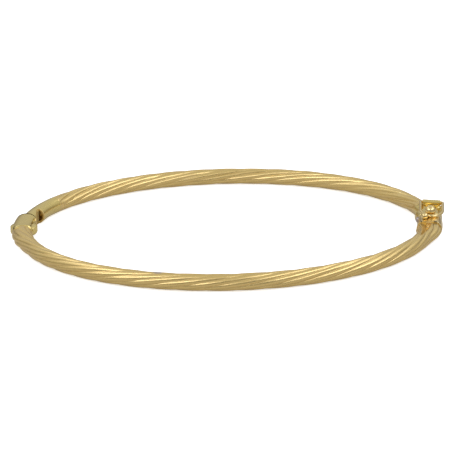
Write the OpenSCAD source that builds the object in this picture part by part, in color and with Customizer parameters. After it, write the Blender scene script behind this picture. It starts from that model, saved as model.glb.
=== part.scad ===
// Oval hinged bangle of hollow twisted tube, lying flat on its side.
// Origin: centre of the oval on the surface it lies on. +X points to the clasp,
// -X to the hinge, +Y to the back arm and +Z up, along the wrist.

/* [Oval] */
// Clear length inside the oval, from hinge to clasp
inner_l = 61; // [54:0.5:72]
// Clear width inside the oval, from arm to arm
inner_w = 51.5; // [46:0.5:62]

/* [Twisted tube] */
// Diameter of the tube over the crests of its flutes
tube_d = 2.6; // [2.4:0.1:3]
// Wall of the tube at a crest
tube_wall = 0.34; // [0.3:0.02:0.4]
// Number of flutes round the tube
flutes = 8; // [6:1:10]
// Depth of the groove between two flutes
flute_depth = 0.1; // [0.05:0.01:0.14]
// Length in which the flutes make one full turn
twist_pitch = 36; // [28:1:50]
// Length of one facet along the tube
ring_step = 2.2; // [2:0.1:4]

/* [Hinge] */
// Distance of the hinge pin behind the oval's tip
pin_y = 1.7; // [1.2:0.1:3]
// Distance of the hinge pin outside the tube's centre line
pin_out = 0.2; // [0:0.05:0.3]
// Diameter of the hinge pin
pin_d = 0.8; // [0.6:0.05:1]
// Diameter of the round knuckle on the pin
knuckle_d = 4.3; // [3.8:0.1:4.6]
// Height of the knuckle between the two cheeks
knuckle_h = 2; // [1.6:0.05:2.05]
// Radius on the knuckle's rim
knuckle_round = 0.5; // [0.1:0.05:0.6]
// Reach of the cheeks from the pin
cheek_reach = 3.1; // [2.9:0.1:3.6]
// Widening of the fork and of the tube at it, to the outside
hinge_swell = 0.65; // [0.3:0.05:0.8]
// Distance from the oval's tip to the back end of the smooth hinge piece
hinge_back_y = 13.2; // [11:0.2:16]
// Distance from the oval's tip to the mouth that the link goes into
link_mouth_y = 7.7; // [7:0.1:9]
// Depth of the pocket between the link and the wall of that mouth
pocket_l = 2.4; // [1:0.1:3]

/* [Clasp] */
// Width of the flattened mouth at the clasp
mouth_w = 4; // [3.6:0.1:4.4]
// Length of the socket on the front arm
socket_l = 3.9; // [3.6:0.1:4.6]
// Length of the smooth cap on the back arm
cap_l = 6; // [5.5:0.1:8]
// Length of the cap's wide part
shoulder_y = 2.6; // [2:0.1:3.2]
// Width of the tongue
tongue_w = 2.2; // [1.8:0.1:2.3]
// Reach of the tongue into the socket
tongue_l = 3.1; // [2.9:0.1:3.2]
// Thickness of the tongue's folded strip
strip_t = 0.26; // [0.2:0.02:0.3]
// Length of the groove that opens into the front arm behind the socket
trough_l = 8; // [5:0.5:10]
// Depth of that groove at the socket
trough_depth = 0.55; // [0.3:0.05:0.6]

/* [Safety catch] */
// Diameter of the catch's wire
wire_d = 0.5; // [0.4:0.02:0.5]
// Outside diameter of the barrel that the catch turns in
barrel_d = 0.96; // [0.8:0.02:1]
// Length of that barrel
barrel_l = 2.8; // [2.4:0.1:3]
// Distance of the barrel behind the joint of the two arms
barrel_y = 5.3; // [4.8:0.1:5.4]
// Distance of the barrel's middle outside the tube's centre line at the tip
barrel_out = 0.65; // [0.4:0.05:0.8]
// Angle in degrees by which the catch is turned inwards
catch_skew = 5; // [0:0.5:6]
// Diameter of the snap ball on the front arm
ball_d = 1.64; // [1.4:0.04:1.68]
// Distance of the snap ball in front of the joint
ball_y = 0.75; // [0.6:0.05:0.9]
// Diameter of the thumb knob on the tongue
knob_d = 0.96; // [0.7:0.02:1]
// Distance of the thumb knob in front of the joint
knob_y = 2.5; // [2.45:0.05:2.6]
// Diameter of the bead on the inner side of the socket
bead_d = 0.84; // [0.7:0.02:0.9]

/* [Clearances] */
// Gap between pieces that are fitted together and don't move
fit_gap = 0.03; // [0.02:0.01:0.05]
// Gap at the hinge's turning faces and at the pin
run_gap = 0.05; // [0.03:0.01:0.08]
// Gap between two ends that face each other
joint_gap = 0.16; // [0.1:0.02:0.2]
// Room for the tongue at each side of its cavity
tongue_gap = 0.2; // [0.18:0.01:0.24]

/* [Hidden] */
$fn = 48;
eps = 0.01;
far = 12;

tube_r = tube_d / 2;
bore_r = tube_r - tube_wall;
half_l = inner_l / 2 + tube_r;      // centre line of the tube
half_w = inner_w / 2 + tube_r;
around = 4 * flutes;                // points round the outside of the tube
plug_l = 3;                         // reach of a fitting into the tube
fit_plug_r = bore_r - fit_gap - 0.03;   // the facets of the bore lie inside its radius

// Radius of the arc that follows the oval from its tip to the height y
function tip_gap(y) = half_l * (1 - sqrt(1 - pow(y / half_w, 2)));
function arc_r(y) = (pow(tip_gap(y), 2) + y * y) / (2 * tip_gap(y));
hinge_r = arc_r(hinge_back_y);
clasp_r = arc_r(cap_l);

// Hinge
knuckle_r = knuckle_d / 2;
root_r = knuckle_r + 2 * run_gap;   // round end of the slot between the cheeks
fork_wall = 0.5;                    // metal between that slot and the tube
fork_y = pin_y - root_r - fork_wall;    // front end of the smooth fork
pin_at = [-half_l - pin_out, pin_y, tube_r];
link_r = cheek_reach + joint_gap;   // start of the full section behind the cheeks
neck_r = 0.92 * tube_r;             // slimmer neck between knuckle and link
flank_x = 1.6;                      // flat inner flank of the link, from the oval's tip
pocket_r = 0.63 * tube_r;           // pocket beside the link in its mouth
cheek_h = (tube_d - knuckle_h) / 2 - run_gap;       // height of a cheek at its middle
pin_z0 = 0.05;                      // lower end of the pin
pin_z1 = tube_d - 0.45 * cheek_h;   // top of its bore in the upper cheek
bore_gap = 0.01;                    // press fit of the pin in the cheeks

// Clasp
swell = mouth_w / 2 - tube_r;       // how far the mouth is wider than the tube
plug_r = 0.45;                      // thin plug behind the socket
cavity_w = tongue_w + 2 * tongue_gap;
tongue_h = 1.1;                     // outside height of the folded tongue
cavity_h = tongue_h + 0.3;
tongue_x = half_l - 0.05;
tongue_z = tube_r - tongue_h / 2;   // underside of the tongue
tongue_root = 1.6;                  // reach of the tongue's lower strip into the cap
stem_d = 0.5;
stem_gap = 0.14;                    // room for the knob's stem in its slot
wire_r = wire_d / 2;
barrel_bed = 0.12;                  // how far the barrel sinks below the tube's top
barrel_z = tube_d + barrel_d / 2 - barrel_bed;
barrel_x = half_l + barrel_out;
catch_l = (barrel_y + ball_y) / cos(catch_skew);    // from the barrel to the ball
ball_x = barrel_x - (barrel_y + ball_y) * tan(catch_skew);
hook_r = 0.36;                      // bend of the wire at each end of the barrel
side_x = barrel_l / 2 + hook_r;     // half width of the catch
loop_gap = 0.14;                    // room for the ball in the catch's round front
front_r = ball_d / 2 + wire_r + loop_gap;
front_y = -catch_l - 0.08;          // middle of that front, from the barrel
side_r = 5;                         // radius of the catch's long sides
side_y = front_y + sqrt(pow(side_r - front_r, 2) - pow(side_r - side_x, 2));
side_a = atan2(side_y - front_y, side_r - side_x);
knob_inset = 1.02;                  // knob inside the ball, towards the wrist
knob_x = ball_x - knob_inset;
knob_z = tube_d + 0.4;
ball_z = barrel_z + 0.55;
bead_x = half_l - mouth_w / 2 + 0.2;
bead_y = 0.55;
bead_z = 1.4 * tube_r;

function on_oval(t) = [half_l * cos(t), half_w * sin(t)];
function outward(t) = let (n = [half_w * cos(t), half_l * sin(t)]) n / norm(n);
function smooth(x) = let (c = max(0, min(1, x))) c * c * (3 - 2 * c);

// Twisted tube from angle t0 to t1 of the oval. groove_end is the angle round the tube
// at which a groove meets the end t1. start_out widens the start to the outside. With
// open_end the last stretch widens to the flat mouth, and that groove becomes a trough.
module twisted_tube(t0, t1, groove_end, start_out = 0, open_end = false) {
    steps = ceil(norm(on_oval(t1) - on_oval(t0)) * 1.5 / ring_step);
    ts = [for (i = [0:steps]) t0 + (t1 - t0) * i / steps];
    run = [for (i = 0, s = 0; i <= steps;
                s = s + norm(on_oval(ts[min(i + 1, steps)]) - on_oval(ts[i])), i = i + 1) s];
    total = run[steps];
    inner = around / 2;
    function left(i) = total - run[i];
    function swollen(i) = open_end ? swell * smooth(1 - (left(i) - 1) / (trough_l / 2)) : 0;
    function swollen_out(i) = swollen(i) + start_out * smooth(1 - (run[i] - 2.5) / 6);
    function deepen(i) = open_end ? smooth(1 - left(i) / trough_l) : 0;
    function turn(i) = groove_end - 360 * left(i) / twist_pitch;
    function flute(j) = flute_depth * (1 - abs(sin(180 * flutes * j / around)));
    function off(j) = min(j, around - j) * 360 / around;
    function trough(i, j) =
        trough_depth * deepen(i) * max(0, 1 - off(j) / (12 + 36 * deepen(i)));
    function place(i, r, a, out, in) =
        let (n = outward(ts[i]), c = on_oval(ts[i]))
        let (u = r * cos(a) * (1 + (cos(a) > 0 ? out : in) / tube_r))
        [c[0] + n[0] * u, c[1] + n[1] * u, tube_r + r * sin(a)];
    outside = [for (i = [0:steps], j = [0:around - 1])
        place(i, tube_r - flute(j) - trough(i, j), turn(i) + j * 360 / around,
              swollen_out(i), swollen(i))];
    inside = [for (i = [0:steps], j = [0:inner - 1])
        place(i, bore_r + (plug_r + fit_gap + 0.02 - bore_r) * smooth(2 * deepen(i)),
              turn(i) + j * 360 / inner, swollen_out(i) - swollen(i), 0)];
    base = len(outside);
    function o(i, j) = i * around + j % around;
    function n(i, j) = base + i * inner + j % inner;
    skin = [for (i = [0:steps - 1], j = [0:around - 1])
        each [[o(i, j), o(i + 1, j), o(i + 1, j + 1)], [o(i, j), o(i + 1, j + 1), o(i, j + 1)]]];
    bore = [for (i = [0:steps - 1], j = [0:inner - 1])
        each [[n(i, j), n(i + 1, j + 1), n(i + 1, j)], [n(i, j), n(i, j + 1), n(i + 1, j + 1)]]];
    start = [for (k = [0:inner - 1])
        each [[o(0, 2 * k), o(0, 2 * k + 1), n(0, k)], [o(0, 2 * k + 1), n(0, k + 1), n(0, k)],
              [o(0, 2 * k + 1), o(0, 2 * k + 2), n(0, k + 1)]]];
    end = [for (k = [0:inner - 1])
        each [[o(steps, 2 * k), n(steps, k), o(steps, 2 * k + 1)],
              [o(steps, 2 * k + 1), n(steps, k), n(steps, k + 1)],
              [o(steps, 2 * k + 1), n(steps, k + 1), o(steps, 2 * k + 2)]]];
    polyhedron(points = concat(outside, inside), faces = concat(skin, bore, start, end), convexity = 8);
}

// A profile swept along the arc at one tip of the oval, from height y0 to y1.
// side is -1 at the hinge and 1 at the clasp.
module along_tip(side, r, y0, y1) {
    a0 = asin(y0 / r);
    a1 = asin(y1 / r);
    translate([side * (half_l - r), 0, tube_r])
        rotate([0, 0, side > 0 ? a0 : 180 - a1])
            rotate_extrude(angle = a1 - a0, $fn = 180) translate([r, 0]) children();
}

// Tube section widened to each side
module wide_section(out, in) {
    translate([-in, -tube_r]) square([out + in, tube_d]);
    for (x = [-in, out]) translate([x, 0]) circle(r = tube_r);
}

module at_pin() { translate(pin_at) children(); }

module pin_bore(r, z0, z1) { at_pin() translate([0, 0, z0 - tube_r]) cylinder(r = r, h = z1 - z0); }

// Angles of the oval at which the tubes begin and end
function t_at(y) = asin(y / half_w);
t_fork = 180 - t_at(fork_y - joint_gap / 2);
t_socket = 360 - t_at(socket_l + joint_gap / 2);
t_cap = t_at(cap_l + joint_gap / 2);
t_link = 180 - t_at(hinge_back_y + joint_gap / 2);

// Front arm: its groove opens into the trough at the socket
module front_tube() color("#c8a95a")
    twisted_tube(t_fork, t_socket, 117, start_out = hinge_swell, open_end = true);

module back_tube() color("#c8a95a") twisted_tube(t_cap, t_link, 20);

// Smooth end of the front arm: two cheeks over and under the knuckle
module hinge_fork() color("#cdb565") {
    slot = knuckle_h / 2 + run_gap;
    difference() {
        union() {
            along_tip(-1, hinge_r, fork_y, pin_y + cheek_reach) wide_section(hinge_swell, 0);
            along_tip(-1, hinge_r, fork_y - plug_l, fork_y + eps) circle(r = fit_plug_r);
        }
        at_pin() translate([0, 0, -slot]) {
            cylinder(r = root_r, h = 2 * slot);
            translate([-far / 2, 0, 0]) cube([far, far, 2 * slot]);
        }
        at_pin() difference() {
            translate([-far / 2, 0, -far / 2]) cube([far, far, far]);
            cylinder(r = cheek_reach, h = 2 * far, center = true);
        }
        pin_bore(pin_d / 2 + bore_gap, -1, pin_z1);
    }
}

// Smooth end of the back arm: round knuckle, neck, link with a flat inner flank and
// the mouth of the tube that the link goes into
module hinge_knuckle() color("#c4ac60") {
    difference() {
        union() {
            at_pin() rotate_extrude() knuckle_half();
            intersection() {
                along_tip(-1, hinge_r, pin_y, hinge_back_y - 1) circle(r = neck_r);
                at_pin() translate([-far, 0, -knuckle_h / 2]) cube([2 * far, far, knuckle_h]);
            }
            difference() {
                along_tip(-1, hinge_r, pin_y, hinge_back_y) circle(r = tube_r);
                at_pin() cylinder(r = link_r, h = far, center = true);
            }
            along_tip(-1, hinge_r, hinge_back_y - eps, hinge_back_y + plug_l)
                circle(r = fit_plug_r);
        }
        pin_bore(pin_d / 2 + run_gap, -1, tube_d + 1);
        intersection() {
            at_pin() translate([pin_out + flank_x, knuckle_r + 0.1, -far / 2]) cube(far);
            union() {
                along_tip(-1, hinge_r, pin_y, link_mouth_y) square(2 * tube_d, center = true);
                along_tip(-1, hinge_r, link_mouth_y - 1, link_mouth_y + pocket_l)
                    circle(r = pocket_r);
            }
        }
    }
}

module knuckle_half() {
    square_r = knuckle_r - knuckle_round;
    translate([0, -knuckle_h / 2]) square([square_r, knuckle_h]);
    translate([0, -knuckle_h / 2 + knuckle_round])
        square([knuckle_r, knuckle_h - 2 * knuckle_round]);
    for (s = [-1, 1]) translate([square_r, s * (knuckle_h / 2 - knuckle_round)])
        circle(r = knuckle_round, $fn = 32);
}

module hinge_pin() color("#b89a50") pin_bore(pin_d / 2, pin_z0, pin_z1 - 2 * bore_gap);

// Smooth flattened mouth of the front arm, with the cavity for the tongue
module clasp_socket() color("#cdb565") {
    root = 0.2;
    translate([ball_x, -ball_y, tube_d - root]) cylinder(d = ball_d / 2, h = ball_z - tube_d + root);
    translate([ball_x, -ball_y, ball_z]) sphere(d = ball_d);
    difference() {
        union() {
            along_tip(1, clasp_r, -socket_l, 0) wide_section(swell, swell);
            along_tip(1, clasp_r, -socket_l - plug_l, -socket_l + eps) circle(r = plug_r);
            translate([bead_x, -bead_y, bead_z]) sphere(d = bead_d);
        }
        translate([tongue_x - cavity_w / 2, -tongue_l - 0.3, tube_r - cavity_h / 2])
            cube([cavity_w, tongue_l + 1, cavity_h]);
        translate([knob_x - stem_d / 2 - stem_gap, -knob_y - stem_d / 2 - stem_gap, tube_r])
            cube([stem_d + 2 * stem_gap, knob_y + 2, tube_d]);
    }
}

// Smooth cap of the back arm, with the barrel of the safety catch soldered on
module clasp_cap() color("#cdb565") {
    sleeve_r = tube_r - 0.02;
    shoulder_a = asin(shoulder_y / clasp_r);
    difference() {
        union() {
            along_tip(1, clasp_r, joint_gap, shoulder_y) wide_section(swell, swell);
            for (x = [-swell, swell])
                translate([half_l - clasp_r + (clasp_r + x) * cos(shoulder_a),
                           (clasp_r + x) * sin(shoulder_a), tube_r]) sphere(r = tube_r - 0.05);
            along_tip(1, clasp_r, shoulder_y - 0.5, cap_l) circle(r = sleeve_r);
            along_tip(1, clasp_r, cap_l - eps, cap_l + plug_l) circle(r = fit_plug_r);
            at_barrel() translate([-barrel_l / 2, 0, 0]) rotate([0, 90, 0]) cylinder(d = barrel_d, h = barrel_l);
            at_barrel() barrel_web();
        }
        at_barrel() rotate([0, 90, 0]) cylinder(r = wire_r + 0.04, h = 2 * barrel_l, center = true);
        translate([tongue_x - tongue_w / 2 - fit_gap, -1, tongue_z - fit_gap])
            cube([tongue_w + 2 * fit_gap, 1 + tongue_root + fit_gap, strip_t + 2 * fit_gap]);
    }
}

// Web that carries the barrel, rounded towards its outer end
module barrel_web() {
    web_l = barrel_l - 0.2;
    web_w = 0.6 * barrel_d;
    web_top = wire_r + 0.1;             // below the barrel's axis, clear of the bore
    web_h = barrel_z - tube_r - web_top;
    intersection() {
        translate([-web_l / 2, -web_w / 2, -web_h - web_top]) cube([web_l, web_w, web_h]);
        translate([-web_l / 4, 0, 0]) rotate([90, 0, 0])
            cylinder(r = 0.75 * web_l, h = 2 * web_w, center = true);
    }
}

module at_barrel() { translate([barrel_x, barrel_y, barrel_z]) rotate([0, 0, -catch_skew]) children(); }

// Folded spring strip, open towards the back arm, with the thumb knob on its leaf
module clasp_tongue() color("#c9a24c") {
    bend = tongue_h / 2;
    bend_y = -tongue_l + bend;
    translate([tongue_x - tongue_w / 2, 0, 0]) rotate([90, 0, 90]) linear_extrude(height = tongue_w) {
        translate([bend_y, tongue_z]) square([tongue_root - bend_y, strip_t]);
        translate([bend_y, tube_r]) difference() {
            circle(r = bend, $fn = 48);
            circle(r = bend - strip_t, $fn = 48);
            translate([0, -bend - 1]) square([2 * bend, 2 * bend + 2]);
        }
        translate([bend_y - eps, tube_r + bend - strip_t]) square([-0.35 - bend_y, strip_t]);
    }
    translate([knob_x, -knob_y, tube_r + bend - strip_t / 2]) cylinder(d = stem_d, h = knob_z - tube_r - bend);
    translate([knob_x, -knob_y, knob_z]) sphere(d = knob_d);
}

// Points of a bend in the catch: [x, y, angle], the angle being the bend's outward side
function bend(x, y, r, a0, a1, n) =
    [for (i = [0:n]) let (a = a0 + (a1 - a0) * i / n) [x + r * cos(a), y + r * sin(a), a]];

// Closed loop of wire: through the barrel, along both sides and round the snap ball
module safety_catch() {
    sides = 12;
    path = concat(
        bend(barrel_l / 2, -hook_r, hook_r, 90, 0, 6),
        bend(side_x - side_r, side_y, side_r, 0, 0.9 - side_a, 5),
        bend(0, front_y, front_r, -side_a, side_a - 180, 20),
        bend(side_r - side_x, side_y, side_r, side_a - 180.9, -180, 5),
        bend(-barrel_l / 2, -hook_r, hook_r, -180, -270, 6));
    function at(i, k) = (i % len(path)) * sides + k % sides;
    color("#d2ba6c") at_barrel() polyhedron(
        points = [for (p = path, k = [0:sides - 1]) let (b = (k + 0.5) * 360 / sides)
            [p[0] + wire_r * cos(b) * cos(p[2]), p[1] + wire_r * cos(b) * sin(p[2]), wire_r * sin(b)]],
        faces = [for (i = [0:len(path) - 1], k = [0:sides - 1])
            each [[at(i, k), at(i + 1, k), at(i + 1, k + 1)], [at(i, k), at(i + 1, k + 1), at(i, k + 1)]]],
        convexity = 4);
}

front_tube();
back_tube();
hinge_fork();
hinge_knuckle();
hinge_pin();
clasp_socket();
clasp_cap();
clasp_tongue();
safety_catch();
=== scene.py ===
"""Dressed model of an oval hinged bangle of twisted yellow gold tube."""

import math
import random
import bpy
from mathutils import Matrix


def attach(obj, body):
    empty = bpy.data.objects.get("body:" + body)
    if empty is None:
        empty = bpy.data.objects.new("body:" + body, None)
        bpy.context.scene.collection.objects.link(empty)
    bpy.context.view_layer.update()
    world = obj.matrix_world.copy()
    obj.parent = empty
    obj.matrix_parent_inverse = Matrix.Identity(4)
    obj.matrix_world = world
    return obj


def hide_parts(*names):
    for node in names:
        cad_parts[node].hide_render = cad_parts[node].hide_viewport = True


bl_info = {
    "name": "Twisted bangle",
    "version": (1, 0, 0),
    "blender": (4, 5, 0),
    "location": "View3D > Sidebar > Bangle",
    "description": "Twisted tubes, hinge, clasp and safety catch of a hinged gold bangle",
    "category": "Add Mesh",
}

import bmesh
import bpy
from bpy.props import FloatProperty, FloatVectorProperty, IntProperty, PointerProperty
from mathutils import Matrix, Vector

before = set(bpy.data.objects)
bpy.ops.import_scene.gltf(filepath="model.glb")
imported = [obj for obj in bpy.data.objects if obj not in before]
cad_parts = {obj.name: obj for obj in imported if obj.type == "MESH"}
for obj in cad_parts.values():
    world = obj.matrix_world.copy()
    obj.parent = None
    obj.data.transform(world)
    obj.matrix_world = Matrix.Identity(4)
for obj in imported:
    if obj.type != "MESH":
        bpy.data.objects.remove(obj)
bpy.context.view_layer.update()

MM = 0.001

# Places and radii of the fittings, in millimetres
PIN = Vector((-32.0, 1.7, 1.3))
CHEEK_R = 3.1
FORK_Y = -1.05
KNUCKLE_R = 2.15
FLANK_X = -30.2
MOUTH_Y = 7.7
POCKET_R = 0.82
COLLAR_Y = 13.2
SOCKET_Y = -3.9
CAP_Y = 6.0
PLUG_R = 1.24
LIP_R = 1.26
BARREL = Vector((32.45, 5.3, 2.96))
SNAP_BALL = Vector((31.9, -0.75, 3.5))
KNOB = Vector((30.86, -2.5, 3.0))
BEAD = Vector((30.0, -0.55, 1.8))

# Turn of the barrel and the catch, seen from above
BARREL_SKEW = math.radians(5)


def linear(hex_colour):
    """A hex sRGB colour as linear red, green and blue."""
    parts = [int(hex_colour[i : i + 2], 16) / 255 for i in (1, 3, 5)]
    return tuple(c / 12.92 if c <= 0.04045 else ((c + 0.055) / 1.055) ** 2.4 for c in parts)


# Sizes and colours


class BangleSizes(bpy.types.PropertyGroup):
    """Sizes of the bangle's tube and of its fittings"""

    inner_length: FloatProperty(
        name="Inner length", description="Clear length inside the oval",
        default=61 * MM, unit="LENGTH")
    inner_width: FloatProperty(
        name="Inner width", description="Clear width inside the oval",
        default=51.5 * MM, unit="LENGTH")
    tube_d: FloatProperty(
        name="Tube diameter", description="Diameter over the crests of the flutes",
        default=2.6 * MM, unit="LENGTH")
    pitch: FloatProperty(
        name="Twist pitch", description="Length in which the flutes turn once",
        default=36 * MM, unit="LENGTH")
    flutes: IntProperty(
        name="Flutes", description="Number of main flutes round the tube", default=8)
    crease: FloatProperty(
        name="Crease depth", description="Depth of the crease between two flutes",
        default=0.23 * MM, unit="LENGTH")
    ridge: FloatProperty(
        name="Ridge height", description="Height of a fine ridge on a flute",
        default=0.004 * MM, unit="LENGTH")
    mouth_width: FloatProperty(
        name="Mouth width", description="Width of the flattened mouth at the clasp",
        default=4 * MM, unit="LENGTH")
    hinge_swell: FloatProperty(
        name="Hinge swell", description="Widening of the front tube at the hinge",
        default=0.65 * MM, unit="LENGTH")
    trough_length: FloatProperty(
        name="Trough length", description="Length of the opening behind the socket",
        default=7.4 * MM, unit="LENGTH")
    trough_depth: FloatProperty(
        name="Trough depth", description="Depth of that opening at the socket",
        default=1.0 * MM, unit="LENGTH")
    wire_d: FloatProperty(
        name="Catch wire", description="Diameter of the safety catch's wire",
        default=0.5 * MM, unit="LENGTH")


class BangleColours(bpy.types.PropertyGroup):
    """Colours of the gold and of the stage"""

    satin: FloatVectorProperty(
        name="Satin gold", description="Reflected colour of the twisted tubes",
        subtype="COLOR", default=linear("#EFD087"))
    # Partly real rubbing and partly painted highlight: the paler gold laid on the crests.
    worn_and_sheen: FloatVectorProperty(
        name="Worn gold and sheen", description="Reflected colour of the rubbed crests",
        subtype="COLOR", default=linear("#F9E0A0"))
    polished: FloatVectorProperty(
        name="Polished gold", description="Reflected colour of the smooth fittings",
        subtype="COLOR", default=linear("#F0DA8E"))
    # Painted shade: the darker, redder gold laid in the mouths and cuts stands for the shade and warm
    # inter-reflection there.
    inside: FloatVectorProperty(
        name="Hollow shade gold", description="Reflected colour inside the mouths and cuts",
        subtype="COLOR", default=linear("#E2C680"))
    stain: FloatVectorProperty(
        name="Stain", description="Colour of the grey stains",
        subtype="COLOR", default=linear("#BDB2AE"))
    # Painted shade: the dark colour of the strips laid along the joints, standing for the shade in the
    # narrow gaps.
    joint_shade: FloatVectorProperty(
        name="Joint shade", description="Colour of the dark film in the joints",
        subtype="COLOR", default=linear("#2E2508"))
    floor: FloatVectorProperty(
        name="Floor", description="Colour of the floor",
        subtype="COLOR", default=linear("#F9F9F8"))


# Shared shapes


def smooth_step(x):
    c = max(0.0, min(1.0, x))
    return c * c * (3 - 2 * c)


def steps(low, high, count):
    """Evenly spaced values, both ends included."""
    return [low + (high - low) * k / (count - 1) for k in range(count)]


def mesh_object(name, points, faces, smooth=True):
    """A new mesh object from points in metres."""
    mesh = bpy.data.meshes.new(name)
    mesh.from_pydata(points, [], faces)
    mesh.validate()
    mesh.update()
    obj = bpy.data.objects.new(name, mesh)
    bpy.context.scene.collection.objects.link(obj)
    if smooth:
        mesh.shade_smooth()
    return obj


def finish_piece(obj, body, nodes, material):
    """Gives a piece its body, the nodes that it stands for and its material."""
    obj.data.materials.clear()
    obj.data.materials.append(material)
    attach(obj, body)
    if nodes:
        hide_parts(*nodes)
    return obj


class Oval:
    """The tube's centre line: an oval, lying flat at the height of the tube's radius."""

    def __init__(self, sizes):
        self.r = sizes.tube_d / 2
        self.a = sizes.inner_length / 2 + self.r
        self.b = sizes.inner_width / 2 + self.r

    def at(self, t):
        return Vector((self.a * math.cos(t), self.b * math.sin(t), self.r))

    def outward(self, t):
        return Vector((self.b * math.cos(t), self.a * math.sin(t), 0)).normalized()

    def angle_at(self, y):
        return math.asin(y / self.b)

    def stations(self, t0, t1, step):
        """Angles at equal steps of length, with the length left to the end t1."""
        fine = 4000
        run = [0.0]
        last = self.at(t0)
        for i in range(1, fine + 1):
            here = self.at(t0 + (t1 - t0) * i / fine)
            run.append(run[-1] + (here - last).length)
            last = here
        count = round(run[-1] / step)
        found, i = [], 0
        for k in range(count + 1):
            goal = run[-1] * k / count
            while i < fine - 1 and run[i + 1] < goal:
                i += 1
            share = (goal - run[i]) / (run[i + 1] - run[i])
            found.append((t0 + (t1 - t0) * (i + share) / fine, run[-1] - goal))
        return found


class Tip:
    """The arc that the smooth fittings follow at one tip of the oval, in millimetres."""

    def __init__(self, sizes, side, reach_y):
        oval = Oval(sizes)
        self.side, self.tube_r = side, oval.r / MM
        a, b = oval.a / MM, oval.b / MM
        gap = a * (1 - math.sqrt(1 - (reach_y / b) ** 2))
        self.r = (gap * gap + reach_y * reach_y) / (2 * gap)
        self.centre = Vector((side * (a - self.r), 0, self.tube_r))

    def outward(self, y):
        angle = math.asin(y / self.r)
        return Vector((self.side * math.cos(angle), math.sin(angle), 0))

    def at(self, y, angle, radius, swell_out=0.0, swell_in=0.0):
        """Point at a section angle, from the outer side towards the top."""
        out = self.outward(y)
        u = radius * math.cos(angle) + (swell_out if math.cos(angle) > 0 else -swell_in)
        return self.centre + out * (self.r + u) + Vector((0, 0, radius * math.sin(angle)))


# Twisted tubes


def lobe_tables(sizes, seed):
    """Uneven flutes, as hand work leaves them: level, crease, lean and fine ridges."""
    draw = random.Random(seed)
    return [
        (draw.uniform(0, 0.03) * MM, draw.uniform(0.65, 1.1), draw.uniform(0.8, 1.25),
         draw.choice((2, 2, 3)), draw.uniform(0, math.tau), draw.uniform(0.5, 1.2))
        for _ in range(sizes.flutes)
    ]


def flute_depth(sizes, phase, along, lobes):
    """How far the surface lies under the crests at an angle of the turning frame."""
    share = (phase / math.tau * sizes.flutes) % sizes.flutes
    level, crease, lean, ridges, start, strength = lobes[int(share)]
    across = share - int(share)
    bow = math.sin(math.pi * across ** lean) ** 0.72
    swing = math.sin(along / (5.3 * MM) + start)
    wave = math.cos(math.tau * ridges * across + start + 0.8 * swing)
    fine = sizes.ridge * strength * (1 - wave) / 2 * (0.65 + 0.35 * swing)
    return sizes.crease * crease * (1 - bow) * (0.92 + 0.08 * swing) + level + fine


def trough(sizes, angle, left):
    """Depth of the pointed opening that leads from the socket into the front tube."""
    if left > sizes.trough_length:
        return 0.0
    share = left / sizes.trough_length
    middle = math.radians(106 - 32 * share)
    half = math.radians(27) * (1 - share * share)
    off = abs((angle - middle + math.pi) % math.tau - math.pi)
    wall = math.radians(11)
    return sizes.trough_depth * smooth_step((half - off) / wall) * (1 - 0.6 * share)


def stained(angle, left):
    """Strength of the small grey stain on top of the front arm."""
    middle, half_length = 53.2 * MM, 0.75 * MM
    turn, half_turn = 97, 17
    strength = 0.8
    near = ((left - middle) / half_length) ** 2 + ((math.degrees(angle) - turn) / half_turn) ** 2
    return strength * smooth_step(1.5 - near)


def twisted_tube(sizes, name, t0, t1, groove_end, seed, fades, start_out=0.0, start_fade=0.0,
                 open_end=False):
    """A twisted tube between two angles of the oval. Its flutes run out over the lengths
    in fades. With open_end it widens to the flat mouth and opens in a pointed trough."""
    oval = Oval(sizes)
    lobes = lobe_tables(sizes, seed)
    around = 20 * sizes.flutes
    ring_gap = 0.2 * MM
    sunk_end = 0.04 * MM
    swell = sizes.mouth_width / 2 - oval.r
    rings = oval.stations(t0, t1, ring_gap)
    total = rings[0][1]
    points, hollow, stain = [], [], []
    for t, left in rings:
        centre, out = oval.at(t), oval.outward(t)
        run = total - left
        inset = sunk_end * (1 - smooth_step(min(run, left) / (0.5 * MM)))
        after = smooth_step(left / fades[1]) if fades[1] else 1.0
        mouth = swell * smooth_step(1 - (left - 1 * MM) / (4 * MM)) if open_end else 0.0
        hinge = start_out * smooth_step(1 - (run - 2.5 * MM) / (6 * MM))
        for j in range(around):
            turned = math.tau * j / around
            angle = groove_end - math.tau * left / sizes.pitch + turned
            fade = fades[0] * (1 + start_fade * max(0.0, math.cos(angle)))
            full = after * smooth_step(run / fade)
            radius = oval.r - inset - full * flute_depth(sizes, turned, run, lobes)
            sunk = trough(sizes, angle, left) if open_end else 0.0
            radius -= min(sunk, 0.9 * radius)
            side = mouth + hinge if math.cos(angle) > 0 else mouth
            u = radius * math.cos(angle) * (1 + side / oval.r)
            points.append(centre + out * u + Vector((0, 0, radius * math.sin(angle))))
            # The hollow share masks the painted shade in the trough.
            hollow.append(min(1.0, sunk / (0.45 * MM)))
            stain.append(stained(angle % math.tau, left) if open_end else 0.0)
    rows = len(points) // around
    faces = [
        (i * around + j, i * around + (j + 1) % around,
         (i + 1) * around + (j + 1) % around, (i + 1) * around + j)
        for i in range(rows - 1) for j in range(around)]
    obj = mesh_object(name, points, faces)
    for key, values in (("hollow", hollow), ("stain", stain)):
        obj.data.attributes.new(key, "FLOAT", "POINT").data.foreach_set("value", values)
    lay_uv(obj, rows, around, total, oval)
    return obj


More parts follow.
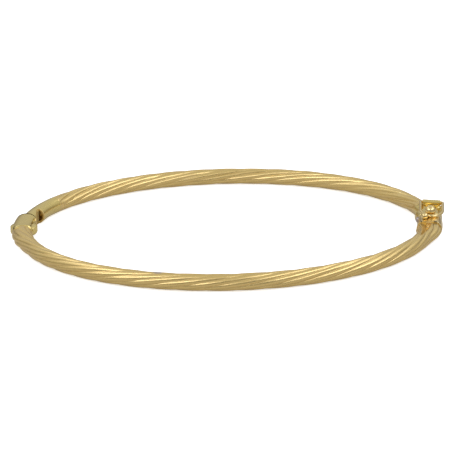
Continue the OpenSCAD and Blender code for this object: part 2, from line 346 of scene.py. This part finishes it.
def lay_uv(obj, rows, around, total, oval):
    """UV map in millimetres: U along the flutes, V round the tube."""
    uv = obj.data.uv_layers.new(name="flutes")
    long_mm, round_mm = total / MM, math.tau * oval.r / MM
    for face in obj.data.polygons:
        spots = [divmod(obj.data.loops[k].vertex_index, around) for k in face.loop_indices]
        wraps = any(j == around - 1 for _, j in spots)
        for k, (i, j) in zip(face.loop_indices, spots):
            j = around if wraps and j == 0 else j
            uv.data[k].uv = (long_mm * i / (rows - 1), round_mm * j / around)


# Fittings


def swept(path, radius, sides=16, closed=False):
    """A round bar along points in millimetres, with one radius or one for each point."""
    bar = bmesh.new()
    count = len(path)
    rings, normal = [], None
    for i, point in enumerate(path):
        ahead = path[(i + 1) % count] if closed or i < count - 1 else point
        behind = path[i - 1] if closed or i > 0 else point
        tangent = (ahead - behind).normalized()
        normal = tangent.orthogonal() if normal is None else normal
        normal = (normal - tangent * normal.dot(tangent)).normalized()
        other = tangent.cross(normal)
        r = radius[i] if isinstance(radius, list) else radius
        rings.append([
            bar.verts.new(point + (normal * math.cos(a) + other * math.sin(a)) * r)
            for a in (math.tau * k / sides for k in range(sides))])
    pairs = list(zip(rings, rings[1:])) + ([(rings[-1], rings[0])] if closed else [])
    for one, two in pairs:
        for k in range(sides):
            n = (k + 1) % sides
            bar.faces.new((one[k], one[n], two[n], two[k]))
    if not closed:
        bar.faces.new(rings[0][::-1])
        bar.faces.new(rings[-1])
    return bar


def object_from(name, bar):
    """An object in metres from a bmesh in millimetres."""
    bmesh.ops.recalc_face_normals(bar, faces=bar.faces)
    bmesh.ops.scale(bar, vec=(MM, MM, MM), verts=bar.verts)
    mesh = bpy.data.meshes.new(name)
    bar.to_mesh(mesh)
    bar.free()
    mesh.shade_smooth()
    obj = bpy.data.objects.new(name, mesh)
    bpy.context.scene.collection.objects.link(obj)
    return obj


def join_into(joined, part):
    """Moves the geometry of one bmesh into another."""
    mesh = bpy.data.meshes.new("part")
    part.to_mesh(mesh)
    part.free()
    joined.from_mesh(mesh)
    bpy.data.meshes.remove(mesh)


def sleeve(tip, y0, y1, radius, swell_out=0.0, swell_in=0.0):
    """A solid of the tube's section that follows a tip of the oval, in millimetres."""
    solid = bmesh.new()
    sides = 48
    rings = [[solid.verts.new(tip.at(y, math.tau * k / sides, radius, swell_out, swell_in))
              for k in range(sides)] for y in steps(y0, y1, 12)]
    for one, two in zip(rings, rings[1:]):
        for k in range(sides):
            n = (k + 1) % sides
            solid.faces.new((one[k], one[n], two[n], two[k]))
    solid.faces.new(rings[0][::-1])
    solid.faces.new(rings[-1])
    return solid


def ball(place, radius):
    """A round ball at a place in millimetres."""
    solid = bmesh.new()
    bmesh.ops.create_icosphere(solid, subdivisions=4, radius=radius)
    bmesh.ops.translate(solid, vec=place, verts=solid.verts)
    return solid


def fused(name, node, voxel, rounds, additions=(), reshape=None, hollow=None):
    """The solid of a node and the additions fused into one skin whose edges are rounded
    as polishing leaves them. The sizes are in millimetres. hollow gives the share to
    which a point lies inside a mouth or a cut, where the gold is painted darker and redder as shade."""
    joined = bmesh.new()
    part = bmesh.new()
    part.from_mesh(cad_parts[node].data)
    bmesh.ops.remove_doubles(part, verts=part.verts, dist=1e-7)
    bmesh.ops.scale(part, vec=(1 / MM, 1 / MM, 1 / MM), verts=part.verts)
    join_into(joined, part)
    for part in additions:
        bmesh.ops.recalc_face_normals(part, faces=part.faces)
        join_into(joined, part)
    mesh = bpy.data.meshes.new(name)
    joined.to_mesh(mesh)
    joined.free()
    obj = bpy.data.objects.new(name, mesh)
    bpy.context.scene.collection.objects.link(obj)
    skin = obj.modifiers.new("skin", "REMESH")
    skin.mode = "VOXEL"
    skin.voxel_size = voxel
    relax = obj.modifiers.new("relax", "SMOOTH")
    relax.factor = 0.5
    relax.iterations = rounds
    evaluated = obj.evaluated_get(bpy.context.evaluated_depsgraph_get())
    obj.data = bpy.data.meshes.new_from_object(evaluated)
    obj.modifiers.clear()
    bpy.data.meshes.remove(mesh)
    # Mask of the painted shade in the mouths and cuts.
    inside = [hollow(vertex.co) if hollow else 0.0 for vertex in obj.data.vertices]
    obj.data.attributes.new("hollow", "FLOAT", "POINT").data.foreach_set("value", inside)
    if reshape:
        for vertex in obj.data.vertices:
            vertex.co = reshape(vertex.co)
    obj.data.name = name
    obj.data.transform(Matrix.Scale(MM, 4))
    obj.data.shade_smooth()
    return obj


def knuckle_shape(tip):
    """Domes the knuckle, and widens the mouth behind the hinge towards the inner side."""
    flare, flare_length, flare_width = 0.2, 3.4, 1.6
    widening, wall = 0.2, 0.3
    sink, sink_r, dome = 0.2, 3.2, 0.4

    def reshape(co):
        co = co.copy()
        if co.y > MOUTH_Y - 0.5 and co.x > FLANK_X - 0.9:
            out = tip.outward(co.y)
            across = (co - tip.centre).dot(out) - tip.r
            share = smooth_step(1 - (co.y - MOUTH_Y) / flare_length)
            inner = smooth_step(0.5 - across / flare_width)
            from_line = math.hypot(across, co.z - tip.tube_r)
            wider = widening * smooth_step((POCKET_R + wall - from_line) / 0.25)
            co += (out * across + Vector((0, 0, co.z - tip.tube_r))) * wider
            return co - out * (flare * share * inner)
        spot = co - PIN
        if spot.xy.length < sink_r + 0.1 and spot.z > 0:
            from_neck = math.degrees(abs(math.atan2(spot.x, spot.y)))
            far = math.hypot(spot.x, spot.y * smooth_step((from_neck - 25) / 45))
            sunk = sink * smooth_step((sink_r - spot.xy.length) / 0.1)
            co.z -= spot.z * (sunk + dome * min(1.0, far / KNUCKLE_R))
        return co
    return reshape


def in_the_mouth(tip):
    """Share to which a point lies in the pocket or on the flat flank beside it; there the gold is
    painted darker and redder as shade.
    """
    flank_y = 3.8

    def hollow(co):
        across = (co - tip.centre).dot(tip.outward(co.y)) - tip.r
        from_line = math.hypot(across, co.z - tip.tube_r)
        if co.y > MOUTH_Y + 0.1:
            return smooth_step((POCKET_R + 0.06 - from_line) / 0.06)
        if flank_y < co.y < MOUTH_Y - 0.1:
            return smooth_step((co.x - FLANK_X + 0.12) / 0.08)
        return 0.0
    return hollow


def cheek_dome(tip, swell):
    """Rounds the cheeks and widens them to the sides, as they stand on the real hinge."""
    widening, shift, dome, half_width = 0.3, 0.03, 0.17, 1.1

    def reshape(co):
        off_middle = abs(co.z - tip.tube_r)
        share = smooth_step((co.y - FORK_Y - 0.05) / 1.4) * smooth_step((off_middle - 0.55) / 0.3)
        out = tip.outward(co.y)
        across = (co - tip.centre).dot(out) - tip.r - swell / 2
        co = co + out * (across * widening + shift) * share
        drop = dome * min(1.0, abs(across) / half_width) ** 2 * share
        from_pin = (co - PIN).xy.length
        if co.y > PIN.y and from_pin > CHEEK_R:
            co.xy = PIN.xy + (co - PIN).xy * (CHEEK_R / from_pin)
        return co - Vector((0, 0, math.copysign(drop, co.z - tip.tube_r)))
    return reshape


def cap_shape(tip):
    """Sets the barrel lower and a little aslant on its web, and fills the cap out below
    the catch."""
    fill, seat, slope, flattening = 0.25, Vector((0.12, 0, -0.14)), 0.06, 0.3

    def reshape(co):
        co = co.copy()
        if co.y > 0.4:
            out = tip.outward(co.y)
            across = (co - tip.centre).dot(out) - tip.r
            belly = smooth_step(co.y / 2.0) * smooth_step((6.5 - co.y) / 3.0)
            low = smooth_step((3.0 - co.z) / 0.5)
            co += out * (fill * belly * low * smooth_step((across - 0.3) / 0.9))
        if co.y < BARREL.y - 1.4:
            return co
        lift = smooth_step((co.z - 1.9) / 0.7)
        above = max(0.0, co.z - BARREL.z)
        down = slope * (co.x - BARREL.x) + flattening * above
        return co + (seat - Vector((0, 0, down))) * lift
    return reshape


def ball_seat(co):
    """Sets the snap ball lower on its stem."""
    return co - Vector((0, 0, 0.2 * smooth_step((co.z - 2.5) / 0.5)))


# Materials


def add(tree, kind, inputs=None, **settings):
    """Adds a node with its settings, and its inputs as values or links."""
    node = tree.nodes.new(kind)
    for key, value in settings.items():
        setattr(node, key, value)
    for key, value in (inputs or {}).items():
        if isinstance(value, bpy.types.NodeSocket):
            tree.links.new(value, node.inputs[key])
        else:
            node.inputs[key].default_value = value
    return node


def new_material(name):
    """An empty node material with its node tree."""
    material = bpy.data.materials.new(name)
    material.use_nodes = True
    material.node_tree.nodes.clear()
    return material, material.node_tree


def opaque(colour):
    return (*colour, 1.0)


def satin_gold(colours):
    """Drawn and twisted gold tube: fine lines along the flutes spread each highlight
    into long soft streaks. The crests are paler, partly from rubbing and partly as a painted
    highlight, and the cut inside is painted darker and redder as shade."""
    material, tree = new_material("twisted satin gold")
    place = add(tree, "ShaderNodeUVMap", uv_map="flutes").outputs["UV"]
    # Drawing lines are about 0.02 mm apart; they are drawn at 0.12 mm so that they show.
    stretched = add(tree, "ShaderNodeMapping", {"Vector": place, "Scale": (0.2, 8.2, 1.0)})
    lines = add(tree, "ShaderNodeTexNoise", {
        "Vector": stretched.outputs["Vector"], "Scale": 1.0, "Detail": 4.0, "Roughness": 0.6})
    broad = add(tree, "ShaderNodeMapping", {"Vector": place, "Scale": (0.11, 0.9, 1.0)})
    tone = add(tree, "ShaderNodeTexNoise", {
        "Vector": broad.outputs["Vector"], "Scale": 1.0, "Detail": 3.0, "Roughness": 0.5})
    # Painted highlight and rubbing: the crests are painted in the paler gold.
    crest = add(tree, "ShaderNodeNewGeometry").outputs["Pointiness"]
    rubbed_and_sheen = add(tree, "ShaderNodeMapRange", {
        "Value": crest, "From Min": 0.47, "From Max": 0.56, "To Min": 0.0, "To Max": 1.0})
    wear_and_sheen = add(tree, "ShaderNodeMath", {0: rubbed_and_sheen.outputs["Result"], 1: tone.outputs["Fac"]},
               operation="MULTIPLY")
    gold = add(tree, "ShaderNodeMix", {
        "Factor": wear_and_sheen.outputs["Value"], "A": opaque(colours.satin), "B": opaque(colours.worn_and_sheen)},
        data_type="RGBA")
    # Painted shade: the trough is painted in the darker, redder hollow colour.
    hollow = add(tree, "ShaderNodeAttribute", attribute_name="hollow").outputs["Fac"]
    hollow_shaded = add(tree, "ShaderNodeMix", {
        "Factor": hollow, "A": gold.outputs["Result"], "B": opaque(colours.inside)},
        data_type="RGBA")
    stain = add(tree, "ShaderNodeAttribute", attribute_name="stain").outputs["Fac"]
    dulled = add(tree, "ShaderNodeMix", {
        "Factor": stain, "A": hollow_shaded.outputs["Result"], "B": opaque(colours.stain)},
        data_type="RGBA")
    fine = add(tree, "ShaderNodeMapRange", {
        "Value": lines.outputs["Fac"], "From Min": 0.3, "From Max": 0.7,
        "To Min": 0.22, "To Max": 0.36})
    rough = add(tree, "ShaderNodeMix", {"Factor": hollow, "A": fine.outputs["Result"], "B": 0.42})
    bump = add(tree, "ShaderNodeBump", {
        "Height": lines.outputs["Fac"], "Strength": 0.12, "Distance": 0.02 * MM})
    shader = add(tree, "ShaderNodeBsdfPrincipled", {
        "Base Color": dulled.outputs["Result"], "Roughness": rough.outputs["Result"],
        "Normal": bump.outputs["Normal"], "Metallic": 1.0})
    add(tree, "ShaderNodeOutputMaterial", {"Surface": shader.outputs["BSDF"]})
    return material


def cast_gold(name, colour, inside, low, high, grain_mm, depth_mm):
    """Cast and hand-polished gold: a slight unevenness and hairline scratches bend the
    reflections, so the piece reads as soft polished metal and not as a mirror."""
    material, tree = new_material(name)
    place = add(tree, "ShaderNodeTexCoord").outputs["Object"]
    uneven = add(tree, "ShaderNodeTexNoise", {
        "Vector": place, "Scale": 1 / (grain_mm * MM), "Detail": 3.0, "Roughness": 0.55})
    # Polishing scratches are finer than the render shows; they are drawn 0.1 mm apart.
    scratched = add(tree, "ShaderNodeMapping", {"Vector": place, "Scale": (0.25, 1.0, 3.0)})
    scratch = add(tree, "ShaderNodeTexNoise", {
        "Vector": scratched.outputs["Vector"], "Scale": 1 / (0.3 * MM), "Detail": 6.0,
        "Roughness": 0.7})
    deeper = tuple(c * k for c, k in zip(colour, (0.93, 0.88, 0.78)))
    tint = add(tree, "ShaderNodeMix", {
        "Factor": uneven.outputs["Fac"], "A": opaque(colour), "B": opaque(deeper)},
        data_type="RGBA")
    # Painted shade: mouths and cuts take the darker, redder hollow colour.
    hollow = add(tree, "ShaderNodeAttribute", attribute_name="hollow").outputs["Fac"]
    hollow_shaded = add(tree, "ShaderNodeMix", {
        "Factor": hollow, "A": tint.outputs["Result"], "B": opaque(inside)}, data_type="RGBA")
    fine = add(tree, "ShaderNodeMapRange", {
        "Value": scratch.outputs["Fac"], "From Min": 0.3, "From Max": 0.7,
        "To Min": low, "To Max": high})
    rough = add(tree, "ShaderNodeMix", {"Factor": hollow, "A": fine.outputs["Result"], "B": 0.5})
    bump = add(tree, "ShaderNodeBump", {
        "Height": uneven.outputs["Fac"], "Strength": 0.5, "Distance": depth_mm * MM})
    shader = add(tree, "ShaderNodeBsdfPrincipled", {
        "Base Color": hollow_shaded.outputs["Result"], "Roughness": rough.outputs["Result"],
        "Normal": bump.outputs["Normal"], "Metallic": 1.0})
    add(tree, "ShaderNodeOutputMaterial", {"Surface": shader.outputs["BSDF"]})
    return material


def smooth_gold(colours):
    """The smooth ends of the arms: slightly greenish gold with a soft polish."""
    return cast_gold(
        "polished gold fitting", colours.polished, colours.inside, 0.18, 0.32, 1.6, 0.02)


def bright_gold(colours):
    """Ball, catch, knob and socket: high polish with small bright highlights."""
    return cast_gold(
        "bright polished gold", colours.worn_and_sheen, colours.inside, 0.12, 0.24, 1.0, 0.012)


def dull_gold(colours):
    """The inner bead: polished gold under a thin grey film."""
    return cast_gold("tarnished gold", colours.stain, colours.inside, 0.2, 0.35, 0.5, 0.01)


def painted_joint_shade(colours):
    """Painted shade in the joints: dark strips laid along the narrow gaps draw them as thin dull
    lines.
    """
    material, tree = new_material("painted shade in the joints")
    place = add(tree, "ShaderNodeTexCoord").outputs["Object"]
    blotch = add(tree, "ShaderNodeTexNoise", {
        "Vector": place, "Scale": 1 / (0.4 * MM), "Detail": 3.0, "Roughness": 0.6})
    # The painted shade is mixed with a lighter tone in blotches.
    lighter = tuple(min(1.0, 3 * c) for c in colours.joint_shade)
    film = add(tree, "ShaderNodeMix", {
        "Factor": blotch.outputs["Fac"], "A": opaque(colours.joint_shade), "B": opaque(lighter)},
        data_type="RGBA")
    shader = add(tree, "ShaderNodeBsdfPrincipled", {
        "Base Color": film.outputs["Result"], "Roughness": 0.6, "Specular IOR Level": 0.25})
    add(tree, "ShaderNodeOutputMaterial", {"Surface": shader.outputs["BSDF"]})
    return material


# Operators


class BANGLE_OT_tubes(bpy.types.Operator):
    """Build the twisted tubes of both arms"""

    bl_idname = "bangle.tubes"
    bl_label = "Twisted tubes"

    def execute(self, context):
        sizes, colours = context.scene.bangle_sizes, context.scene.bangle_colours
        oval = Oval(sizes)
        gold = satin_gold(colours)
        front = twisted_tube(
            sizes, "twisted_tube_front", math.pi - oval.angle_at((FORK_Y + 0.15) * MM),
            math.tau + oval.angle_at(SOCKET_Y * MM), math.radians(117), 4,
            (1.1 * MM, 0), start_out=sizes.hinge_swell, start_fade=2.5, open_end=True)
        finish_piece(front, "front_arm", ["front_tube"], gold)
        back = twisted_tube(
            sizes, "twisted_tube_back", oval.angle_at((CAP_Y - 0.3) * MM),
            math.pi - oval.angle_at((COLLAR_Y - 0.3) * MM), math.radians(20), 9,
            (2.2 * MM, 2.5 * MM))
        finish_piece(back, "back_arm", ["back_tube"], gold)
        return {"FINISHED"}


class BANGLE_OT_hinge(bpy.types.Operator):
    """Build the fork, the knuckle and the pin of the hinge"""

    bl_idname = "bangle.hinge"
    bl_label = "Hinge"

    def execute(self, context):
        sizes, colours = context.scene.bangle_sizes, context.scene.bangle_colours
        gold, dark = smooth_gold(colours), painted_joint_shade(colours)
        swell = sizes.hinge_swell / MM
        tip = Tip(sizes, -1, COLLAR_Y)
        fork = fused("fork_polished", "hinge_fork", 0.042, 4,
                     [fork_lip(tip, swell), sleeve(tip, FORK_Y - 0.5, FORK_Y + 0.3, PLUG_R, swell)],
                     cheek_dome(tip, swell))
        finish_piece(fork, "front_arm", ["hinge_fork"], gold)
        plug = sleeve(tip, COLLAR_Y - 0.8, COLLAR_Y + 0.3, PLUG_R)
        bottom = ball(tip.at(MOUTH_Y + 1.8, 0, 0), 0.85)
        knuckle = fused("knuckle_polished", "hinge_knuckle", 0.06, 4, [plug, bottom],
                        knuckle_shape(tip), in_the_mouth(tip))
        finish_piece(knuckle, "back_arm", ["hinge_knuckle"], gold)
        pin = fused("pin_polished", "hinge_pin", 0.04, 3)
        finish_piece(pin, "front_arm", ["hinge_pin"], gold)
        # Painted shade: a dark strip along the cheek's back edge stands for the shade in the narrow
        # gap there.
        edge = [cheek_dome(tip, swell)(point) + (point - PIN) * 0.018
                for point in cheek_edge(tip, swell)]
        seam = object_from("hinge_seam", swept(edge, 0.07, 8))
        finish_piece(seam, "front_arm", [], dark)
        # Painted shade: a dark strip along the slit stands for the shade in it.
        notch = object_from("fork_slit", swept(fork_slit(tip, swell), 0.085, 8))
        finish_piece(notch, "front_arm", [], dark)
        return {"FINISHED"}


def fork_lip(tip, swell):
    """Raised lip between the fork and the tube, from the top to the inner side."""
    count, slant = 60, 0.1
    line = [tip.at(FORK_Y - 0.05 - slant * k / count, angle, LIP_R, swell)
            for k, angle in enumerate(steps(math.radians(72), math.radians(172), count))]
    return swept(line, [0.03 + 0.14 * smooth_step(2 * k / count) for k in range(count)])


def fork_slit(tip, swell):
    """Line of the small slanted slit at the outer side of the fork."""
    count, length, start_angle = 8, 0.35, 0.62
    shares = [length * k / count for k in range(count + 1)]
    return [tip.at(FORK_Y - 0.1 + share, start_angle + share, LIP_R, swell) for share in shares]


def cheek_edge(tip, swell):
    """Line along the round back edge of the upper cheek, in millimetres."""
    lowest = 1.0
    line = []
    for angle in steps(math.radians(48), math.radians(122), 40):
        spot = PIN + Vector((math.cos(angle), math.sin(angle), 0)) * (CHEEK_R + 0.04)
        across = (spot - tip.centre).dot(tip.outward(spot.y)) - tip.r
        across = across - swell if across > swell else min(across, 0)
        height_2 = tip.tube_r ** 2 - across ** 2
        if height_2 > lowest ** 2:
            line.append(Vector((spot.x, spot.y, tip.tube_r + math.sqrt(height_2) - 0.04)))
    return line


class BANGLE_OT_clasp(bpy.types.Operator):
    """Build the socket, the cap and the tongue of the clasp"""

    bl_idname = "bangle.clasp"
    bl_label = "Clasp"

    def execute(self, context):
        sizes, colours = context.scene.bangle_sizes, context.scene.bangle_colours
        smooth, bright = smooth_gold(colours), bright_gold(colours)
        swell = (sizes.mouth_width - sizes.tube_d) / 2 / MM
        tip = Tip(sizes, 1, CAP_Y)
        socket = fused("socket_polished", "clasp_socket", 0.045, 4, [ball(SNAP_BALL, 0.86)], ball_seat)
        finish_piece(socket, "front_arm", ["clasp_socket"], bright)
        plug = sleeve(tip, CAP_Y - 0.8, CAP_Y + 0.4, PLUG_R)
        filling = ball(BARREL + Vector((1.05, -1.0, -0.91)), 0.62)
        cap = fused("cap_polished", "clasp_cap", 0.048, 4, [plug, filling], cap_shape(tip))
        finish_piece(cap, "back_arm", ["clasp_cap"], smooth)
        tongue = fused("tongue_polished", "clasp_tongue", 0.035, 3, [ball(KNOB, 0.55)])
        finish_piece(tongue, "back_arm", ["clasp_tongue"], bright)
        bead = object_from("bead_tarnished", ball(BEAD, 0.45))
        finish_piece(bead, "front_arm", [], dull_gold(colours))
        # Painted shade: dark strips along the socket's edge stand for the shade in the gap there.
        for name, low, high in (("outer", 64, 88), ("inner", 108, 120)):
            line = [tip.at(SOCKET_Y - 0.05, math.radians(angle), tip.tube_r - 0.01, swell, swell)
                    for angle in steps(low, high, 20)]
            seam = object_from("socket_seam_" + name, swept(line, 0.06, 8))
            finish_piece(seam, "front_arm", [], painted_joint_shade(colours))
        for k, (y, z) in enumerate(((-3.95, 2.3), (-4.35, 2.05), (-4.8, 1.75))):
            leaf = object_from(f"leaf_bar_{k}", leaf_bar(31.35 - 0.1 * k, y, z, 0.32 - 0.04 * k))
            finish_piece(leaf, "front_arm", [], bright)
        return {"FINISHED"}


def leaf_bar(x, y, z, half_length):
    """A short bar of the spring leaf that shows across the trough, in millimetres."""
    return swept([Vector((x + half_length * side, y, z)) for side in steps(-1, 1, 8)], 0.1, 12)


class BANGLE_OT_catch(bpy.types.Operator):
    """Build the wire of the safety catch"""

    bl_idname = "bangle.catch"
    bl_label = "Safety catch"

    def execute(self, context):
        wire_r = context.scene.bangle_sizes.wire_d / 2 / MM
        catch = object_from("catch_wire", swept(catch_path(wire_r), wire_r, 24, closed=True))
        bright = bright_gold(context.scene.bangle_colours)
        finish_piece(catch, "catch", ["safety_catch"], bright)
        return {"FINISHED"}


def catch_path(wire_r):
    """Centre line of the catch's closed loop, in millimetres."""
    half_barrel, hook, side_r, loop_r = 1.4, 0.36, 5.0, 0.96
    side_x = half_barrel + hook
    front_r = loop_r + wire_r
    front_y = (SNAP_BALL.y - BARREL.y) / math.cos(BARREL_SKEW) - 0.08
    rise = math.sqrt((side_r - front_r) ** 2 - (side_r - side_x) ** 2)
    turn = math.degrees(math.atan2(rise, side_r - side_x))
    bends = (
        (half_barrel, -hook, hook, 90, 0, 12),
        (side_x - side_r, front_y + rise, side_r, -1, 1 - turn, 24),
        (0, front_y, front_r, -turn, turn - 180, 48),
        (side_r - side_x, front_y + rise, side_r, turn - 181, -179, 24),
        (-half_barrel, -hook, hook, -180, -270, 12))
    path = []
    for x, y, r, start, end, count in bends:
        for angle in steps(math.radians(start), math.radians(end), count):
            path.append(Vector((x + r * math.cos(angle), y + r * math.sin(angle), 0)))
    path += [Vector((x, 0, 0)) for x in steps(-half_barrel, half_barrel, 13)[1:-1]]
    turned = Matrix.Rotation(-BARREL_SKEW, 3, "Z")
    seat = Vector((0.12, 0, -0.18))
    slant = Matrix.Rotation(math.radians(3.5), 3, "Y")
    return [BARREL + seat + slant @ turned @ point for point in path]


class BANGLE_OT_stage(bpy.types.Operator):
    """Set up the floor, the lights and the camera"""

    bl_idname = "bangle.stage"
    bl_label = "Stage"

    def execute(self, context):
        lay_floor(context.scene.bangle_colours)
        light_studio(context.scene)
        set_camera(context.scene)
        return {"FINISHED"}


# Stage


def lay_floor(colours):
    """Plain pale floor, a hair under the bangle; it glows a little, which keeps it evenly white and
    its shadows faint. In the gold it reflects dimmer than it looks, as a glowing floor with a painted
    pool of light, brighter near the bangle and darker farther out, standing for the dimmer floor
    beyond the frame."""
    half = 0.6
    depth = -0.02 * MM
    corners = [(-half, -half, depth), (half, -half, depth), (half, half, depth), (-half, half, depth)]
    floor = mesh_object("floor", corners, [(0, 1, 2, 3)], smooth=False)
    material, tree = new_material("matt white paper")
    place = add(tree, "ShaderNodeTexCoord").outputs["Object"]
    fibre = add(tree, "ShaderNodeTexNoise", {"Vector": place, "Scale": 1 / (0.8 * MM), "Detail": 2.0})
    bump = add(tree, "ShaderNodeBump", {
        "Height": fibre.outputs["Fac"], "Strength": 0.1, "Distance": 0.01 * MM})
    # The floor glows a little, which keeps it evenly white and its shadows faint.
    paper = add(tree, "ShaderNodeBsdfPrincipled", {
        "Base Color": opaque(colours.floor), "Roughness": 0.9, "Specular IOR Level": 0.1,
        "Normal": bump.outputs["Normal"], "Emission Color": opaque(colours.floor),
        "Emission Strength": 0.6})
    # Painted pool of light: in the gold's reflections the floor glows brighter near the bangle and
    # dimmer farther out.
    spread = add(tree, "ShaderNodeMapping", {"Vector": place, "Scale": (9.0, 9.0, 9.0)})
    near = add(tree, "ShaderNodeTexGradient", {"Vector": spread.outputs["Vector"]},
               gradient_type="SPHERICAL")
    table = add(tree, "ShaderNodeMix", {
        "Factor": near.outputs["Fac"], "A": opaque(linear("#7C7B79")), "B": opaque(linear("#ABAAA8"))},
        data_type="RGBA")
    dim = add(tree, "ShaderNodeBsdfPrincipled", {
        "Base Color": table.outputs["Result"], "Roughness": 0.9, "Specular IOR Level": 0.0,
        "Emission Color": table.outputs["Result"], "Emission Strength": 0.5})
    path = add(tree, "ShaderNodeLightPath").outputs["Is Glossy Ray"]
    mixed = add(tree, "ShaderNodeMixShader", {
        "Fac": path, 1: paper.outputs["BSDF"], 2: dim.outputs["BSDF"]})
    add(tree, "ShaderNodeOutputMaterial", {"Surface": mixed.outputs["Shader"]})
    floor.data.materials.append(material)


def light_studio(scene):
    """Soft even light on the floor, and a grey tent that the gold reflects: dark along
    the horizon and in its opening in front, and paler overhead."""
    world = bpy.data.worlds.new("studio")
    world.use_nodes = True
    tree = world.node_tree
    tree.nodes.clear()
    way = add(tree, "ShaderNodeTexCoord").outputs["Generated"]
    height = add(tree, "ShaderNodeSeparateXYZ", {"Vector": way}).outputs["Z"]
    shade = add(tree, "ShaderNodeValToRGB", {"Fac": height})
    stops = ((0.0, "#6C6862"), (0.07, "#7E7A76"), (0.2, "#B4B3B1"), (0.36, "#CACBCA"),
             (0.5, "#C9CBCC"), (0.75, "#CBCDD0"), (1.0, "#C8C8C4"))
    ends = shade.color_ramp.elements
    for end, (position, colour) in ((ends[0], stops[0]), (ends[1], stops[-1])):
        end.position, end.color = position, opaque(linear(colour))
    for position, colour in stops[1:-1]:
        ends.new(position).color = opaque(linear(colour))
    opening = (-0.1, -0.97, 0.2)
    turn = add(tree, "ShaderNodeVectorMath", {0: way, 1: opening}, operation="DOT_PRODUCT")
    patch = add(tree, "ShaderNodeMapRange", {
        "Value": turn.outputs["Value"], "From Min": 0.78, "From Max": 0.97,
        "To Min": 0.0, "To Max": 0.55}, interpolation_type="SMOOTHSTEP")
    dark = add(tree, "ShaderNodeMix", {
        "Factor": patch.outputs["Result"], "A": shade.outputs["Color"],
        "B": opaque(linear("#4A4238"))}, data_type="RGBA")
    tent = add(tree, "ShaderNodeBackground", {"Color": dark.outputs["Result"], "Strength": 1.0})
    even = add(tree, "ShaderNodeBackground", {"Color": (1.0, 1.0, 1.0, 1.0), "Strength": 0.8})
    path = add(tree, "ShaderNodeLightPath").outputs["Is Glossy Ray"]
    mixed = add(tree, "ShaderNodeMixShader", {
        "Fac": path, 1: even.outputs["Background"], 2: tent.outputs["Background"]})
    add(tree, "ShaderNodeOutputWorld", {"Surface": mixed.outputs["Shader"]})
    scene.world = world
    scene.view_settings.view_transform = "Standard"
    add_softbox(scene, "left softbox", -48, 42, 0.5, 0.5, 0.15, 0.5)
    add_softbox(scene, "right softbox", 55, 42, 0.5, 0.55, 0.15, 0.54)
    add_softbox(scene, "left back softbox", -118, 50, 0.5, 0.25, 0.15, 0.1)
    add_softbox(scene, "right back softbox", 118, 50, 0.5, 0.25, 0.15, 0.1)


def add_softbox(scene, name, azimuth, elevation, distance, width, height, power):
    """A rectangular light that faces the bangle. Azimuth 0 is in front of it."""
    turn, rise = math.radians(azimuth), math.radians(elevation)
    place = Vector((math.sin(turn) * math.cos(rise), -math.cos(turn) * math.cos(rise), math.sin(rise)))
    data = bpy.data.lights.new(name, "AREA")
    data.shape = "RECTANGLE"
    data.size = width
    data.size_y = height
    data.energy = power
    data.color = (0.93, 0.96, 1.2)
    light = bpy.data.objects.new(name, data)
    light.location = place * distance
    light.rotation_mode = "QUATERNION"
    light.rotation_quaternion = (-place).to_track_quat("-Z", "Y")
    scene.collection.objects.link(light)


def set_camera(scene):
    """The photograph's view: a long lens, low over the table, very slightly rolled."""
    azimuth, elevation, roll = math.radians(-0.256), math.radians(18.023), math.radians(-1.272)
    distance, lens = 439.8 * MM, 218.96
    back = Vector((
        math.sin(azimuth) * math.cos(elevation), -math.cos(azimuth) * math.cos(elevation),
        math.sin(elevation)))
    data = bpy.data.cameras.new("camera")
    data.sensor_width = 36.0
    data.lens = lens
    data.shift_x, data.shift_y = 0.0060, 0.0086
    data.clip_start, data.clip_end = 0.05, 10.0
    camera = bpy.data.objects.new("camera", data)
    camera.location = back * distance
    camera.rotation_mode = "QUATERNION"
    aim = (-back).to_track_quat("-Z", "Y")
    camera.rotation_quaternion = aim @ Matrix.Rotation(roll, 3, "Z").to_quaternion()
    scene.collection.objects.link(camera)
    scene.camera = camera


class BANGLE_PT_panel(bpy.types.Panel):
    """Lists the bangle's operators, sizes and colours"""

    bl_label = "Twisted bangle"
    bl_idname = "BANGLE_PT_panel"
    bl_space_type = "VIEW_3D"
    bl_region_type = "UI"
    bl_category = "Bangle"

    def draw(self, context):
        for operator in OPERATORS:
            self.layout.operator(operator.bl_idname)
        for group in (context.scene.bangle_sizes, context.scene.bangle_colours):
            for name in group.__annotations__:
                self.layout.prop(group, name)


OPERATORS = (BANGLE_OT_tubes, BANGLE_OT_hinge, BANGLE_OT_clasp, BANGLE_OT_catch, BANGLE_OT_stage)
CLASSES = (BangleSizes, BangleColours, *OPERATORS, BANGLE_PT_panel)


def register():
    for made in CLASSES:
        bpy.utils.register_class(made)
    bpy.types.Scene.bangle_sizes = PointerProperty(type=BangleSizes)
    bpy.types.Scene.bangle_colours = PointerProperty(type=BangleColours)


def unregister():
    del bpy.types.Scene.bangle_colours
    del bpy.types.Scene.bangle_sizes
    for made in reversed(CLASSES):
        bpy.utils.unregister_class(made)


def main():
    register()
    bpy.ops.bangle.tubes()
    bpy.ops.bangle.hinge()
    bpy.ops.bangle.clasp()
    bpy.ops.bangle.catch()
    bpy.ops.bangle.stage()


if __name__ == "__main__":
    main()
